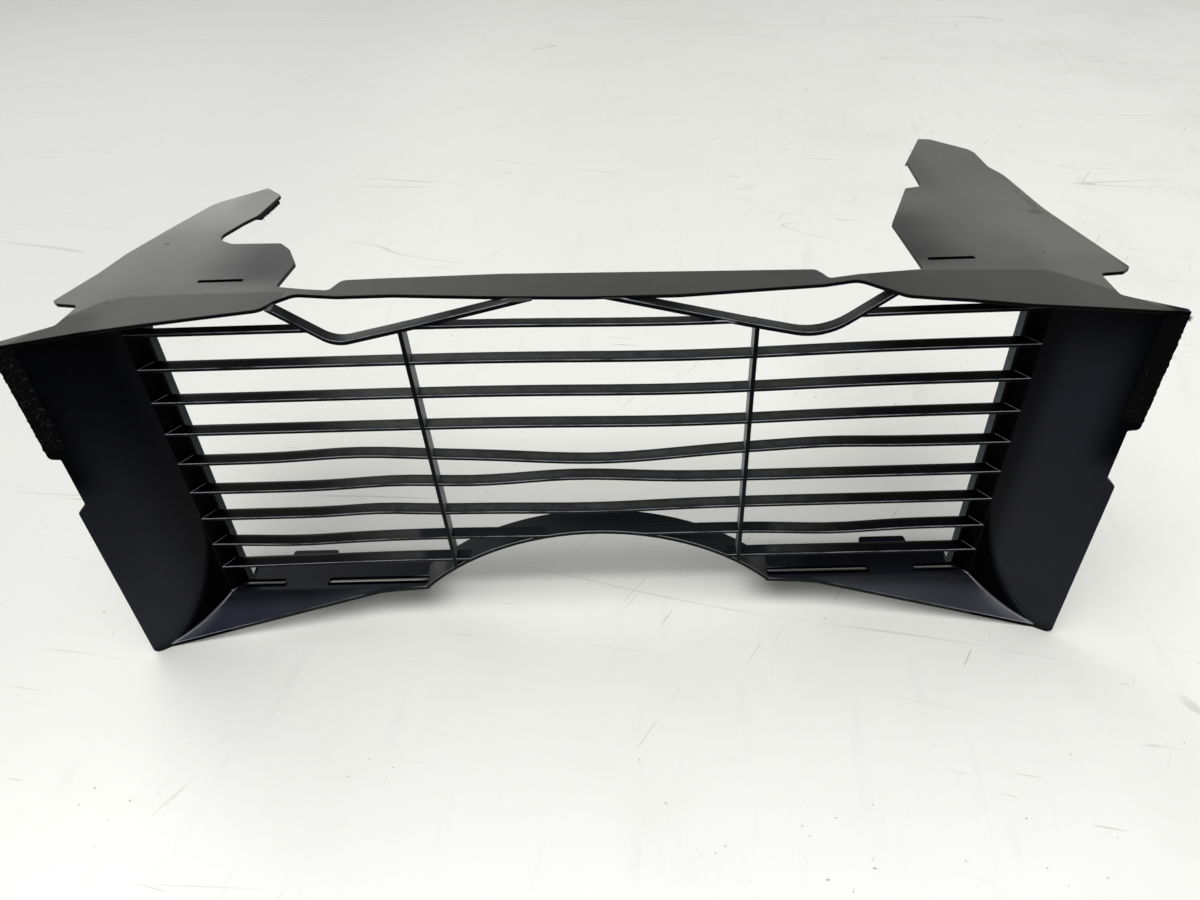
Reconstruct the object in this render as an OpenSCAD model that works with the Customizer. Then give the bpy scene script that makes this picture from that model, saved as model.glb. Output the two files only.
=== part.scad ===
// Radiator guard and air guide of a motorcycle: one thin moulding with felt strips.
// X runs across the grille, Y runs back from its front plane and Z runs up.

/* [Overall] */
// Half of the overall width, at the outer edges of the side panels
half_w = 240; // [232:1:250]
// Height of the top plate above the lowest corners
height = 196; // [190:1:204]
// Thickness of the side panels, bottom sheet and arch
wall = 2; // [1.6:0.1:2.4]
// Thickness of the top plate
plate_t = 1.6; // [1.2:0.1:2.2]

/* [Side panels] */
// How far each panel flares out from the mouth of the grille
flare_out = 41; // [36:1:46]
// How far each panel flares forward of the grille
flare_fwd = 24; // [20:1:28]
// How far each side wall narrows towards the back
throat_in = 7.6; // [6:0.2:9.6]
// Depth of the side walls behind the front plane
throat_d = 12.5; // [11:0.5:14]
// Height of the lower end of the upper edge tab
tab_low = 137; // [130:1:144]
// Height of the upper end of the lower edge tab
tab_high = 106; // [100:1:112]
// Depth of the notch between the two edge tabs
notch_d = 3.6; // [2.6:0.2:6]

/* [Grille] */
// Spacing of the slats
slat_pitch = 18.2; // [17.6:0.1:18.5]
// Depth of a slat, front to back
slat_d = 7; // [5.6:0.2:7.6]
// Depth of the top slat, front to back
top_slat_d = 5.2; // [4:0.2:7]
// Thickness of a slat
slat_t = 1.5; // [1.2:0.1:2]
// Distance of the top slat below the top plate
slat_drop = 12; // [11:0.2:13.4]
// Distance of the two upright bars from the middle
bar_x = 75; // [68:0.5:82]
// Sideways lean of the left bar
left_lean = 4.5; // [0:0.5:6]
// Thickness of an upright bar
bar_t = 1.9; // [1.6:0.1:3]
// Depth of an upright bar
bar_d = 8; // [6:0.5:10]

/* [Arch and lower lip] */
// Height of the underside of the bottom sheet
sheet_z = 20; // [18:0.5:22]
// Depth of the bottom sheet
sheet_d = 18.5; // [16:0.5:20]
// Half width of the arch at its feet
arch_half = 92; // [86:1:98]
// Depth of the arch band
arch_d = 16; // [14:0.5:16]
// Reach of the rear tongues behind the front plane
tongue_y = 29.5; // [25:0.5:33]
// Width of a rear tongue
tongue_w = 25; // [20:1:28]
// Thickness of the sloping lip along the lower front edges
lip_t = 2.4; // [2:0.1:3]
// Width of the slots in the bottom sheet
low_slot_w = 2.6; // [2:0.1:3]
// Distance of those slots behind the front plane
low_slot_y = 6.6; // [5.5:0.1:8]
// Length of each long slot, beside the arch
long_slot_l = 55; // [45:1:56]
// Length of each short slot, beside the side wall
short_slot_l = 22; // [16:1:24]

/* [Top plate] */
// Reach of the left wing behind the front plane
left_reach = 128; // [120:1:136]
// Reach of the right wing behind the front plane
right_reach = 166; // [158:1:174]
// Distance of the wing slots from the middle
wing_slot_x = 161.5; // [158:0.5:166]
// Distance of the wing slots behind the front plane
wing_slot_y = 26.5; // [25:0.5:29]
// Length of a wing slot
wing_slot_l = 18.5; // [14:0.5:20]
// Width of a wing slot
wing_slot_w = 1.6; // [1.2:0.1:2]

/* [V bars] */
// Depth of the V bars, front to back
vee_d = 6; // [5:0.5:7]
// Thickness of the V bars
vee_t = 2; // [1.7:0.1:2.6]
// Distance of a V bar's lowest point from their middle
vee_x = 105.9; // [102:0.1:109]
// Distance of a V bar's outer end from the middle
vee_out = 134.5; // [130:0.5:136]
// Distance of the left V bar's inner end from the middle
left_vee_in = 17.5; // [12:0.5:24]
// Distance of the right V bar's inner end from the middle
right_vee_in = 3.6; // [1:0.2:8]
// Distance of the V bars' inner ends behind the front plane
vee_back = 2.6; // [1:0.2:4]
// Drop of the left V bar below the top plate
left_vee_drop = 19.9; // [19:0.1:22]
// Drop of the right V bar below the top plate
right_vee_drop = 23.4; // [21:0.1:24]
// Sideways set of the V bars' middle
vee_set = -2.4; // [-4:0.1:0]

/* [Felt] */
// Thickness of the felt strips
felt_t = 1.5; // [1:0.1:2.5]
// Width of the felt on the panel edges
felt_w = 7; // [5:0.5:10]
// Width of the felt under the wing tips
tip_felt_w = 8; // [5:0.5:10]
// Thickness of the glue under the felt
glue_t = 0.1; // [0.05:0.05:0.3]

/* [Hidden] */
$fn = 48;
// Bends left in the slats: [slat, middle, half length, rise]
slat_bends = [
    [0, 45, 65, -2], [1, 45, 65, -2], [2, 45, 65, -2], [3, 45, 65, -2],
    [4, 6, 52, -5.4], [4, -112, 30, 2.2], [4, 115, 25, 1.1],
    [5, 0, 250, -0.6], [5, -8, 38, 3.4], [5, -95, 30, 2.3],
    [6, 0, 40, -1.7], [6, -108, 22, 1.6],
    [7, -155, 25, -1.4], [7, -80, 40, 0.8], [7, 122, 28, -2.1],
    [8, 0, 400, 0.8], [8, -93, 90, 2.1]];
// How deep a piece of the moulding is sunk into the one that it grows from
seat = 0.5;
mouth = half_w - flare_out;
throat = mouth - 0.75 * throat_in;
back_wall = mouth - throat_in;
bend_y = throat_d * 0.6;
flare_l = norm([flare_out, flare_fwd]);
flare_dir = [flare_out, -flare_fwd] / flare_l;
flare_in = [-flare_fwd, -flare_out] / flare_l;
sheet_top = sheet_z + wall;
top_slat_z = height - slat_drop;
slats = floor((top_slat_z - sheet_top) / slat_pitch) + 1;
// The arch meets the last slat but one from below
arch_top = top_slat_z - (slats - 2) * slat_pitch + slat_t + seat;
arch_rise = arch_top - sheet_z;
arch_r = (pow(arch_half, 2) + pow(arch_rise, 2)) / (2 * arch_rise);
// Top of the curved fold that closes each lower corner, and the corner itself
fold_top = sheet_top + 56;
corner_r = 3.5;
// Flat of the panel's bottom edge between that corner and the lip
bottom_flat = 4.2;
// How far a folded sheet reaches into the panel and the lip beside it
skin_seat = 0.3;
lip_inset = corner_r + bottom_flat;
lip_corner = [half_w - lip_inset, -(flare_out - lip_inset) * flare_fwd / flare_out - 0.1, lip_t];
lip_knee = arch_half + 24;
felt_inset = 0.8;
felt_front = -flare_fwd + felt_inset * flare_fwd / flare_l + (felt_t + glue_t) * flare_in[1];
mid_y = (right_reach + felt_front) / 2;

// Outline of [x, y, radius] corners with each corner rounded by its radius
function unit(v) = v / norm(v);
function corner(a, b, c) =
    let (u = unit([a[0] - b[0], a[1] - b[1]]), v = unit([c[0] - b[0], c[1] - b[1]]),
         half = acos(u * v) / 2, at = [b[0], b[1]])
    b[2] == 0 || half > 88.5 ? [at] :
    let (mid = at + unit(u + v) * b[2] / sin(half), steps = b[2] < 3 ? 4 : 8,
         from = at + u * b[2] / tan(half) - mid, to = at + v * b[2] / tan(half) - mid,
         start = atan2(from[1], from[0]), turn = atan2(to[1], to[0]) - start,
         sweep = turn > 180 ? turn - 360 : turn < -180 ? turn + 360 : turn)
    [for (i = [0:steps]) mid + b[2] * [cos(start + sweep * i / steps), sin(start + sweep * i / steps)]];
function rounded(p) =
    let (n = len(p)) [for (i = [0:n - 1]) each corner(p[(i + n - 1) % n], p[i], p[(i + 1) % n])];
function mirrored(p) = [for (i = [len(p) - 1:-1:0]) [-p[i][0], p[i][1], p[i][2]]];

// Closed outline of a strip with thickness t above an open line
function raised(line, t) = concat(line, [for (i = [len(line) - 1:-1:0]) line[i] + [0, t]]);

// The pieces are drawn from the front plane, then set with the middle of their box at zero
module in_frame() translate([0, -mid_y, 0]) children();

// A flat outline in X and Z, given the depth d behind y
module upright(y, d) translate([0, y + d, 0]) rotate([90, 0, 0]) linear_extrude(d) children();

// Thin sheet through a grid of points, thickened by one vector
module sheet(grid, back) {
    rows = len(grid);
    cols = len(grid[0]);
    skin = [for (row = grid) each row];
    function at(i, j, side) = side * rows * cols + i * cols + j;
    function quad(a, b, c, d) = [[a, b, c], [a, c, d]];
    polyhedron(concat(skin, [for (p = skin) p + back]), concat(
        [for (i = [0:rows - 2], j = [0:cols - 2])
            each quad(at(i, j, 0), at(i + 1, j, 0), at(i + 1, j + 1, 0), at(i, j + 1, 0))],
        [for (i = [0:rows - 2], j = [0:cols - 2])
            each [[at(i, j, 1), at(i + 1, j + 1, 1), at(i + 1, j, 1)],
                [at(i, j, 1), at(i, j + 1, 1), at(i + 1, j + 1, 1)]]],
        [for (i = [0:rows - 2]) each concat(
            quad(at(i, 0, 0), at(i, 0, 1), at(i + 1, 0, 1), at(i + 1, 0, 0)),
            quad(at(i, cols - 1, 0), at(i + 1, cols - 1, 0), at(i + 1, cols - 1, 1), at(i, cols - 1, 1)))],
        [for (j = [0:cols - 2]) each concat(
            quad(at(0, j, 0), at(0, j + 1, 0), at(0, j + 1, 1), at(0, j, 1)),
            quad(at(rows - 1, j, 0), at(rows - 1, j, 1), at(rows - 1, j + 1, 1), at(rows - 1, j + 1, 0)))]));
}

// Grille of slats between the side walls, and its two upright bars
function sum(v, i = 0) = i < len(v) ? v[i] + sum(v, i + 1) : 0;
function slat_z(k, x) =
    top_slat_z - k * slat_pitch
    + sum([for (b = slat_bends) if (b[0] == k) b[3] * exp(-pow((x - b[1]) / b[2], 2))]);
module slat_stack() {
    steps = 40;
    reach = mouth + 1;
    intersection() {
        for (k = [0:slats - 1])
            upright(0, k == 0 ? top_slat_d : slat_d)
                polygon(raised([for (i = [0:steps]) let (x = (2 * i / steps - 1) * reach) [x, slat_z(k, x)]],
                    slat_t));
        linear_extrude(height)
            polygon([for (p = [[-mouth, 0], [mouth, 0], [throat, bend_y], [-throat, bend_y]])
                p + [sign(p[0]) * wall / 4, 0]]);
    }
}
module bars() {
    top = height - plate_t;
    for (b = [[-bar_x - left_lean, -bar_x + 1], [bar_x - 0.5, bar_x + 0.5]])
        upright(0, bar_d)
            polygon([[b[1] - bar_t / 2, sheet_top], [b[1] + bar_t / 2, sheet_top],
                [b[0] + bar_t / 2, top], [b[0] - bar_t / 2, top]]);
}

// Arch over the gap in the bottom sheet
module arch_axis() translate([0, 0, arch_top - arch_r]) rotate([-90, 0, 0]) children();
module under_arch() arch_axis() translate([0, 0, -1]) cylinder(r = arch_r, h = sheet_d + 2, $fn = 180);
module arch() {
    foot = 6;
    intersection() {
        arch_axis() difference() {
            cylinder(r = arch_r + wall, h = arch_d, $fn = 180);
            translate([0, 0, -1]) cylinder(r = arch_r, h = arch_d + 2, $fn = 180);
        }
        translate([-arch_half - foot, -1, sheet_z]) cube([2 * (arch_half + foot), arch_d + 2, height]);
    }
}

// V bars under the middle of the top plate
function vee_line(s) =
    let (outer = [s * vee_out, height - plate_t / 2], inner = [s < 0 ? -left_vee_in : right_vee_in, height],
         low = [vee_set + s * vee_x, height - (s < 0 ? left_vee_drop : right_vee_drop), s < 0 ? 14 : 28])
    concat([outer], corner(outer, low, inner), [inner]);
module vee_bar(s) intersection() {
    upright(-1, vee_d + vee_back + 2) intersection() {
        polygon(raised(vee_line(s), vee_t));
        translate([-half_w, 0]) square([2 * half_w, height - plate_t / 2]);
    }
    linear_extrude(height) polygon([
        [s * (vee_out + 1), 0], [s * vee_x * 2 / 3, 0], [0, vee_back],
        [0, vee_back + vee_d], [s * vee_x * 2 / 3, vee_d], [s * (vee_out + 1), vee_d]]);
}
module vee_gap(s) upright(-1, bar_d + 2)
    polygon(concat([for (p = vee_line(s)) p + [0, vee_t / 2]],
        [[s < 0 ? -left_vee_in : right_vee_in, height + 1], [s * vee_out, height + 1]]));

// Side wall of the grille with its flared panel and the curved fold at the lower corner
function on_panel(x, z) = [x, -(x - mouth) * flare_fwd / flare_out, z];
function fold(t) =
    let (low = lip_t + skin_seat)
    on_panel(mouth + (lip_corner[0] - mouth) * pow(t, 1.6), low + (fold_top - low) * pow(1 - t, 1.25));
function ridge(t) =
    let (start = [mouth, 0, sheet_top], bow = 4 * t * (1 - t))
    start + (lip_corner - start) * t + bow * [-1.4, 2, -3.6];
module side_wall() {
    turns = 12;
    intersection() {
        linear_extrude(height)
            polygon([[back_wall, throat_d], [throat, bend_y], [mouth, 0], [half_w, -flare_fwd],
                [half_w, -flare_fwd + 1.16 * wall], [mouth + 0.6 * wall, 0.8 * wall],
                [throat + 0.95 * wall, bend_y + 0.45 * wall], [back_wall + wall, throat_d]]);
        upright(-flare_fwd - 1, flare_fwd + throat_d + 2)
            polygon(concat(
                rounded([[back_wall - 1, sheet_z, 0], [back_wall - 1, height, 0], [half_w, height, 0],
                    [half_w, tab_low, 3], [half_w - notch_d, tab_low - 2, 1],
                    [half_w - notch_d, tab_high + 2, 1], [half_w, tab_high - 1.5, 3],
                    [half_w, 0, corner_r], [lip_corner[0] - skin_seat, 0, 0]]),
                [for (i = [turns:-1:0]) let (p = fold(i / turns)) [p[0] - skin_seat, p[2]]],
                [[mouth - skin_seat, sheet_z]]));
    }
    rows = [[0, [-0.8, 0, -1.2]], [0, [0, 0, 0]], [0.5, [0, 0, 0]], [1, [0, -0.1, 0]], [1, [0, 0.5, 1.2]]];
    columns = concat(
        [[0, [-0.5, 1.2, 0]]], [for (i = [0:turns]) [i / turns, [0, 0, 0]]], [[1, [0.6, 0.3, 0]]]);
    sheet([for (row = rows) [for (column = columns)
        let (low = ridge(column[0])) low + (fold(column[0]) - low) * row[0] + row[1] + column[1]]],
        [0.65, 0.85, -0.1] * wall);
}

// Bottom sheet with a rear tongue, and the lip that slopes from it down to the corner
module bottom_sheet() {
    tongue = [throat - 21 - tongue_w, throat - 21];
    translate([0, 0, sheet_z]) linear_extrude(wall) polygon(rounded([
        [mouth + wall / 4, 0, 0], [throat + wall / 4, bend_y, 0], [back_wall + wall / 4, throat_d, 0],
        [back_wall - 0.2, throat_d + 0.3, 0], [back_wall - 0.2, sheet_d, 1], [tongue[1] + 1, sheet_d, 0],
        [tongue[1], tongue_y, 1.5], [tongue[0], tongue_y, 1.5], [tongue[0] - 1, sheet_d, 0],
        [arch_half - 1, sheet_d, 0], [arch_half - 1, 0, 0]]));
}
function lip_back(s) = [mouth + (arch_half - mouth) * s, 0, sheet_top];
function lip_front(s) =
    let (x = lip_corner[0] + (arch_half - lip_corner[0]) * s, near = [0, -1.5, sheet_top - 0.2],
         run = (lip_corner[0] - x) / (lip_corner[0] - lip_knee), flat = (x - arch_half) / 24)
    run < 1 ? [x, each [for (i = [1, 2]) lip_corner[i] + (near[i] - lip_corner[i]) * run]]
            : [x, near[1] * flat, sheet_top - 0.2 * flat];
function lip(s, t) =
    let (edge = lip_back(0) + (lip_front(0) - lip_back(0)) * t)
    lip_back(s) + (lip_front(s) - lip_back(s)) * t + (ridge(t) - edge) * pow(1 - s, 4);
module front_lip() {
    across = 16;
    down = 6;
    sheet([for (j = [0:down]) [for (i = [0:across]) lip(i / across, j / down)]], [0, 0.1, -lip_t]);
}

// Top plate with its two wings and the middle strip
function left_wing() = [
    [half_w, -flare_fwd, 0], [half_w - 1, -flare_fwd + 4, 1], [half_w - 20, -8, 3], [half_w - 22.5, 8.5, 2.5],
    [half_w - 12, 10.5, 2], [half_w - 9.3, 13, 1.2], [half_w - 19, 38, 20], [half_w - 24, 56, 30],
    [half_w - 36, left_reach - 44, 40], [half_w - 48, left_reach - 18, 20], [half_w - 71, left_reach, 1.5],
    [half_w - 80.5, left_reach - 10, 2], [half_w - 75.5, left_reach - 34, 6],
    [half_w - 70.5, left_reach - 42, 14], [half_w - 62.5, 69, 7], [half_w - 72, 63, 5],
    [vee_out + 9.5, 62, 3], [vee_out + 3.5, 55, 4], [vee_out - 2.8, 41, 2], [vee_out + 0.2, 19.5, 2]];
function right_wing() = [
    [half_w, -flare_fwd, 0], [half_w - 6, -flare_fwd + 5, 1], [half_w - 21, -9, 3], [half_w - 21.5, 9, 2.5],
    [half_w - 11, 10, 2], [half_w - 7, 13.5, 2], [half_w - 14, 43, 60], [half_w - 21, 73, 80],
    [half_w - 26, right_reach - 52, 40], [half_w - 30, right_reach - 42, 8],
    [half_w - 31, right_reach - 22, 5], [half_w - 33, right_reach - 17, 5],
    [half_w - 49, right_reach - 1, 2], [half_w - 55, right_reach, 0], [half_w - 69.4, right_reach - 31, 2],
    [half_w - 70.4, 103, 1.5], [half_w - 79, 101, 2], [vee_out + 10.1, 62, 4], [vee_out + 12.5, 17.5, 1.5]];
// Distance from the middle of a point that lies a share of the way from the V bars' outer ends to the edge
function outward(share) = vee_out + share * (half_w - vee_out);
module top_plate() {
    front = [
        [-outward(0.687), -14, 30], [-outward(0.469), -9, 30], [-outward(0.242), -4.2, 30],
        [-outward(0.081), -1, 20], [-vee_out - 2, 0.3, 8], [-vee_out + 2.5, 7, 5], [-vee_out + 9.5, 12.5, 6],
        [-vee_out + 28.5, 9.5, 20], [-vee_out + 52.5, 9.5, 30], [-40, 5.5, 60],
        [0, 2.8, 80], [41, 2.2, 80], [vee_out - 61.5, 4.8, 60], [vee_out - 31.5, 7, 20],
        [vee_out - 16.5, 10.4, 7], [vee_out - 8, 3, 8], [vee_out + 0.5, -4, 8],
        [outward(0.118), -6.6, 20], [outward(0.232), -8.7, 30], [outward(0.441), -14, 30],
        [outward(0.706), -18.5, 30]];
    back = [
        [vee_out - 15.5, 14.8, 10], [vee_out - 29, 12, 2], [vee_out - 31, 16.5, 2], [vee_out - 33.5, 20.2, 3],
        [60, 21.5, 60], [-36, 25, 80], [-vee_out + 45, 24.2, 20], [-vee_out + 28, 23.6, 4],
        [-vee_out + 24, 14.8, 2.5], [-vee_out + 13.5, 16.5, 8]];
    translate([0, 0, height - plate_t]) linear_extrude(plate_t)
        polygon(rounded(concat(front, right_wing(), back, mirrored(left_wing()))));
}

// Slots with round ends through a level sheet
module slot(x, y, z, l, w) {
    translate([x, y, z - 1]) linear_extrude(wall + 2) {
        square([l - w, w], center = true);
        for (e = [-1, 1]) translate([e * (l - w) / 2, 0]) circle(d = w, $fn = 24);
    }
}
module slots() {
    for (s = [-1, 1]) {
        slot(s * wing_slot_x, wing_slot_y, height - wall, wing_slot_l, wing_slot_w);
        slot(s * (arch_half + long_slot_l / 2), low_slot_y, sheet_z, long_slot_l, low_slot_w);
        slot(s * (throat - short_slot_l / 2), low_slot_y, sheet_z, short_slot_l, low_slot_w);
    }
}

// The whole moulding
module guard() {
    color("#1d1e21") in_frame() difference() {
        union() {
            difference() {
                union() {
                    slat_stack();
                    bars();
                }
                under_arch();
                for (s = [-1, 1]) vee_gap(s);
            }
            for (s = [-1, 1]) vee_bar(s);
            arch();
            for (m = [0, 1]) mirror([m, 0, 0]) {
                side_wall();
                bottom_sheet();
                front_lip();
            }
            top_plate();
        }
        slots();
    }
}

// Felt on the front face of a panel, along its upper tab
module edge_felt() {
    low = tab_low + 4;
    edge = [half_w, -flare_fwd] + glue_t * flare_in;
    near = edge - felt_inset * flare_dir;
    far = near - felt_w * flare_dir;
    translate([0, 0, low]) linear_extrude(height - plate_t - glue_t - low)
        polygon([near, far, far + felt_t * flare_in, near + felt_t * flare_in]);
}
module left_edge_felt() color("#15161a") in_frame() mirror([1, 0, 0]) edge_felt();
module right_edge_felt() color("#15161a") in_frame() edge_felt();

// Felt under a wing tip, along the edge from a to b
module tip_felt(a, b) {
    u = unit(b - a);
    translate([0, 0, height - plate_t - glue_t - felt_t]) linear_extrude(felt_t)
        polygon([b, a, a + [-u[1], u[0]] * tip_felt_w, b + [-u[1], u[0]] * tip_felt_w]);
}
module left_wing_felt() color("#15161a") in_frame()
    tip_felt([-half_w + 76, left_reach - 33], [-half_w + 80, left_reach - 13]);
module right_wing_felt() color("#15161a") in_frame() mirror([1, 0, 0])
    tip_felt([-half_w + 69, right_reach - 29], [-half_w + 57, right_reach - 4]);

guard();
left_edge_felt();
right_edge_felt();
left_wing_felt();
right_wing_felt();
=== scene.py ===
"""Dressed scene of a motorcycle radiator guard: moulding, felt strips, floor and light."""

import logging
import math
import random
from dataclasses import dataclass, field
from enum import Enum
from functools import partial, reduce

import bmesh
import bpy
from mathutils import Matrix, Vector, noise


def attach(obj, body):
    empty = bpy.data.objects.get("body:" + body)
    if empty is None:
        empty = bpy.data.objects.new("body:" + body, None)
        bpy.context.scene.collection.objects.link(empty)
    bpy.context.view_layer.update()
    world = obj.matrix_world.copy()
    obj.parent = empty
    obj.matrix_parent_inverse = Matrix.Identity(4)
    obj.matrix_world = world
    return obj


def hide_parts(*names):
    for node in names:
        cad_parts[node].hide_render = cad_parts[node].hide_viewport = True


LOG = logging.getLogger("radiator_guard")
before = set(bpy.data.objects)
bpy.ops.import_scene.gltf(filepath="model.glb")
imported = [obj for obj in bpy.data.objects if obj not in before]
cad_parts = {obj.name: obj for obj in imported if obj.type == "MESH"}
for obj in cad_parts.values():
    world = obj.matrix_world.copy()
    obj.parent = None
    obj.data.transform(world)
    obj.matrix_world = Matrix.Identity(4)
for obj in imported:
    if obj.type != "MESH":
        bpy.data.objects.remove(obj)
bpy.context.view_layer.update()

MM = 0.001
MM_PER_METRE = 1000.0
FRONT_PLANE = -70.5117 * MM
Colour = tuple[float, float, float]
Point = tuple[float, float, float]
Span = tuple[float, float]
Output = bpy.types.NodeSocket


def srgb(code: str) -> Colour:
    """Turns a six-digit colour code into a linear colour.

    Args:
        code: Red, green and blue as six hexadecimal digits.

    Returns:
        The colour in linear light.
    """
    values = [int(code[i : i + 2], 16) / 255 for i in (0, 2, 4)]
    red, green, blue = (v / 12.92 if v <= 0.04045 else ((v + 0.055) / 1.055) ** 2.4 for v in values)
    return red, green, blue


class Op(Enum):
    """Arithmetic that a shader graph can do."""

    ADD = "ADD"
    SUBTRACT = "SUBTRACT"
    MULTIPLY = "MULTIPLY"
    DIVIDE = "DIVIDE"
    HIGH = "MAXIMUM"
    POWER = "POWER"
    ABSOLUTE = "ABSOLUTE"


class Graph:
    """Builds the nodes of one material or world and links them."""

    def __init__(self, tree: bpy.types.NodeTree) -> None:
        """Empties the tree and keeps it.

        Args:
            tree: Node tree of a material or world.
        """
        self.tree = tree
        tree.nodes.clear()

    def node(self, kind: str, inputs: dict | None = None, **settings: object) -> bpy.types.Node:
        """Adds one node.

        Args:
            kind: Class name of the node, without ShaderNode.
            inputs: Socket name or number to a value or to another node's output.
            **settings: Properties of the node itself.

        Returns:
            The new node.
        """
        made = self.tree.nodes.new(f"ShaderNode{kind}")
        for name, value in settings.items():
            setattr(made, name, value)
        for name, value in (inputs or {}).items():
            self.feed(made.inputs[name], value)
        return made

    def feed(self, socket: Output, value: object) -> None:
        """Links an output to a socket, or sets the socket's own value.

        Args:
            socket: Input of a node.
            value: Output, number or colour that it gets.
        """
        if isinstance(value, Output):
            self.tree.links.new(value, socket)
        elif isinstance(value, tuple) and len(value) == 3 and socket.type == "RGBA":
            socket.default_value = (*value, 1.0)
        else:
            socket.default_value = value

    def maths(self, op: Op, a: object, b: object = 0.0, clamp: bool = False) -> Output:
        """Does arithmetic on one or two values.

        Args:
            op: What to do.
            a: First value or output.
            b: Second value or output.
            clamp: Keep the result between 0 and 1.

        Returns:
            The output that holds the result.
        """
        settings = {"operation": op.value, "use_clamp": clamp}
        return self.node("Math", {0: a, 1: b}, **settings).outputs[0]

    def total(self, *values: object) -> Output:
        """Adds up several values."""
        return reduce(partial(self.maths, Op.ADD), values)

    def product(self, *values: object) -> Output:
        """Multiplies several values."""
        return reduce(partial(self.maths, Op.MULTIPLY), values)

    def without(self, share: object, clamp: bool = False) -> Output:
        """Turns a share into what it leaves of 1."""
        return self.maths(Op.SUBTRACT, 1.0, share, clamp)

    def raised(self, share: object, base: float, gain: float) -> Output:
        """Adds a part of a share to a base value."""
        return self.maths(Op.ADD, base, self.maths(Op.MULTIPLY, share, gain))

    def off(self, value: object, place: object) -> Output:
        """Measures how far a value is from a place."""
        return self.maths(Op.ABSOLUTE, self.maths(Op.SUBTRACT, value, place))

    def ramp(self, value: object, low: float, high: float, soft: bool = True) -> Output:
        """Rises from 0 at low to 1 at high.

        Args:
            value: What is measured.
            low: Where the rise starts; it may lie above high for a fall.
            high: Where it ends.
            soft: Ease in and out.

        Returns:
            The output, from 0 to 1.
        """
        settings = {"interpolation_type": "SMOOTHSTEP" if soft else "LINEAR", "clamp": True}
        inputs = {0: value, 1: low, 2: high}
        if low > high:
            inputs = {0: value, 1: high, 2: low, 3: 1.0, 4: 0.0}
        return self.node("MapRange", inputs, **settings).outputs[0]

    def finish(self, inputs: dict) -> bpy.types.Node:
        """Ends the graph with a shader.

        Args:
            inputs: What the shader gets, as for any node.

        Returns:
            The shader.
        """
        shader = self.node("BsdfPrincipled", inputs)
        self.node("OutputMaterial", {"Surface": shader.outputs[0]})
        return shader

    def coat(self, under: object, over: object, *shares: object) -> Output:
        """Lays one colour over another.

        Args:
            under: Colour or output that is covered.
            over: Colour or output that covers it.
            *shares: How much of it shows, as shares that are multiplied.

        Returns:
            The output with the blended colour.
        """
        mixed = self.node("Mix", {0: self.product(*shares)}, data_type="RGBA")
        self.feed(mixed.inputs[6], under)
        self.feed(mixed.inputs[7], over)
        return mixed.outputs[2]


@dataclass(frozen=True)
class Pattern:
    """Cloudy noise on a surface.

    The scale is in patches for each metre. Low and high bound the part of the noise that shows,
    and share is its strength. A stretched pattern is first turned about Z, by degrees.
    """

    scale: float = 1.0
    detail: float = 2.0
    rough: float = 0.5
    warp: float = 0.0
    low: float = 0.0
    high: float = 1.0
    share: float = 1.0
    stretch: Point | None = None
    turn: float = 0.0
    shift: Point = (0.0, 0.0, 0.0)

    def noise(self, g: Graph, where: Output) -> Output:
        """Makes the noise.

        Args:
            g: Graph to build in.
            where: Position in metres.

        Returns:
            The output, about 0.5 on average.
        """
        if self.stretch:
            angle = {"Vector": where, "Angle": math.radians(self.turn)}
            turned = g.node("VectorRotate", angle).outputs[0]
            scaling = {"Vector": turned, "Scale": self.stretch, "Location": self.shift}
            where = g.node("Mapping", scaling).outputs[0]
        inputs = {
            "Vector": where, "Scale": self.scale, "Detail": self.detail, "Roughness": self.rough,
            "Distortion": self.warp}
        return g.node("TexNoise", inputs).outputs["Fac"]

    def mask(self, g: Graph, where: Output) -> Output:
        """Finds the part of the noise that shows, from 0 to 1."""
        return g.ramp(self.noise(g, where), self.low, self.high)


class Measure(Enum):
    """What a bound of a zone is measured along: places in metres, faces from -1 to 1."""

    X = "position across"
    ACROSS = "distance from the middle"
    Y = "position back"
    BACK = "distance back from the grille's front plane"
    Z = "height"
    UP = "how far a face looks up"
    OUTWARD = "how far a face looks away from the middle"


X, ACROSS, Y, BACK, Z, UP, OUTWARD = Measure


class Surface:
    """Measures the surface that a graph paints."""

    def __init__(self, g: Graph) -> None:
        """Makes the outputs of all measures.

        Args:
            g: Graph to build in.
        """
        self.g = g
        self.where = g.node("TexCoord").outputs["Object"]
        self.flat = g.node("NewGeometry").outputs["True Normal"]
        x, y, z = g.node("SeparateXYZ", {0: self.where}).outputs
        facing = g.node("SeparateXYZ", {0: self.flat}).outputs
        across = g.maths(Op.ABSOLUTE, x)
        side = g.maths(Op.DIVIDE, x, g.maths(Op.HIGH, across, MM))
        self.along = {
            X: x, ACROSS: across, Y: y, BACK: g.maths(Op.SUBTRACT, y, FRONT_PLANE), Z: z,
            UP: facing[2], OUTWARD: g.product(facing[0], side)}


@dataclass(frozen=True)
class Rise:
    """Soft step from 0 to 1 along one measure; it falls where low lies above high."""

    along: Measure
    low: float
    high: float

    def mask(self, s: Surface) -> Output:
        """Finds how far the step has risen."""
        return s.g.ramp(s.along[self.along], self.low, self.high)


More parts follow.
